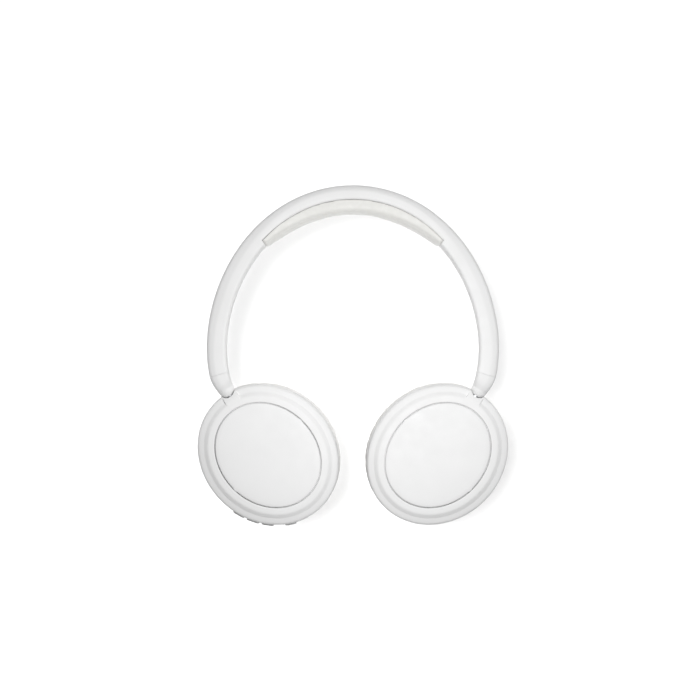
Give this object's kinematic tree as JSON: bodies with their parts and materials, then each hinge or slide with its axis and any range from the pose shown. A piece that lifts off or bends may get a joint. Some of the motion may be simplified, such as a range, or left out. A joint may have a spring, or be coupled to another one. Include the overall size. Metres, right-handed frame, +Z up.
{
  "type": "over ear headphones",
  "caption": "Wireless over-ear headphones with flat-swivelling oval ear cups, padded sprung headband, sliding arm ends and edge buttons",
  "frame": {"origin": "on the surface the ear pads lie on, under the middle of the whole object's box", "axes": "+Z up through the ear cups as they lie flat with their caps up, +Y from the cups to the crown of the headband, +X to the side of the cup without controls"},
  "size_m": [0.1764, 0.1913, 0.041],
  "materials": {
    "white_plastic": "satin moulded",
    "cap": "smooth satin",
    "leatherette": "soft grained leatherette",
    "driver_cloth": "fine knitted mesh",
    "inner_plastic": "plain moulded",
    "steel": "bright drawn",
    "film": "clear film",
    "circuit_board": "solder mask",
    "battery_foil": "foil pouch"
  },
  "bodies": {
    "headband": {"headband_shell": "white_plastic", "headband_liner": "white_plastic", "headband_spring": "steel", "headband_cushion": "leatherette", "left_detent_spring": "steel", "right_detent_spring": "steel"},
    "left_arm": {"left_arm_end": "white_plastic", "left_slider_strip": "steel", "left_tilt_pin": "steel"},
    "left_stem": {"left_swivel_spindle": "steel", "left_spindle_clip": "steel"},
    "left_cup": {"left_baffle": "inner_plastic", "left_baffle_screw_1": "steel", "left_baffle_screw_2": "steel", "left_baffle_screw_3": "steel", "left_charging_socket": "steel", "left_circuit_board": "circuit_board", "left_cup_cap": "cap", "left_cup_shell": "white_plastic", "left_diaphragm": "film", "left_driver_cover": "driver_cloth", "left_driver_frame": "inner_plastic", "left_driver_magnet": "steel", "left_ear_pad": "leatherette", "left_light_pipe": "film", "left_microphone": "steel", "left_pad_ring": "inner_plastic", "left_switch_board": "circuit_board"},
    "right_arm": {"right_arm_end": "white_plastic", "right_slider_strip": "steel", "right_tilt_pin": "steel"},
    "right_stem": {"right_swivel_spindle": "steel", "right_spindle_clip": "steel"},
    "right_cup": {"right_baffle": "inner_plastic", "right_baffle_screw_1": "steel", "right_baffle_screw_2": "steel", "right_baffle_screw_3": "steel", "right_battery": "battery_foil", "right_cup_cap": "cap", "right_cup_shell": "white_plastic", "right_diaphragm": "film", "right_driver_cover": "driver_cloth", "right_driver_frame": "inner_plastic", "right_driver_magnet": "steel", "right_ear_pad": "leatherette", "right_pad_ring": "inner_plastic"},
    "left_power_button": {"left_power_button": "white_plastic"},
    "left_volume_up_button": {"left_volume_up_button": "white_plastic"},
    "left_play_button": {"left_play_button": "white_plastic"},
    "left_volume_down_button": {"left_volume_down_button": "white_plastic"}
  },
  "joints": [
    {"name": "left_slide", "type": "slide", "parent": "headband", "child": "left_arm", "axis": [0, -1, 0], "range_m": [0, 0.025]},
    {"name": "left_tilt", "type": "hinge", "parent": "left_arm", "child": "left_stem", "pos_m": [-0.07164, -0.01788, 0.0285], "axis": [0, 0, 1], "range_deg": [-4, 4]},
    {"name": "left_swivel", "type": "hinge", "parent": "left_stem", "child": "left_cup", "pos_m": [-0.0474, -0.0552, 0.0285], "axis": [0.5446, -0.8387, 0], "range_deg": [0, 90]},
    {"name": "right_slide", "type": "slide", "parent": "headband", "child": "right_arm", "axis": [0, -1, 0], "range_m": [0, 0.025]},
    {"name": "right_tilt", "type": "hinge", "parent": "right_arm", "child": "right_stem", "pos_m": [0.07164, -0.01788, 0.0285], "axis": [0, 0, 1], "range_deg": [-4, 4]},
    {"name": "right_swivel", "type": "hinge", "parent": "right_stem", "child": "right_cup", "pos_m": [0.0474, -0.0552, 0.0285], "axis": [0.5446, 0.8387, 0], "range_deg": [0, 90]},
    {"name": "left_power_press", "type": "slide", "parent": "left_cup", "child": "left_power_button", "axis": [-0.1934, 0.9811, 0], "range_m": [0, 0.0005], "stiffness_N_per_m": 400},
    {"name": "left_volume_up_press", "type": "slide", "parent": "left_cup", "child": "left_volume_up_button", "axis": [0.1359, 0.9907, 0], "range_m": [0, 0.0005], "stiffness_N_per_m": 400},
    {"name": "left_play_press", "type": "slide", "parent": "left_cup", "child": "left_play_button", "axis": [0.3273, 0.9449, 0], "range_m": [0, 0.0005], "stiffness_N_per_m": 400},
    {"name": "left_volume_down_press", "type": "slide", "parent": "left_cup", "child": "left_volume_down_button", "axis": [0.4991, 0.8665, 0], "range_m": [0, 0.0005], "stiffness_N_per_m": 400}
  ]
}
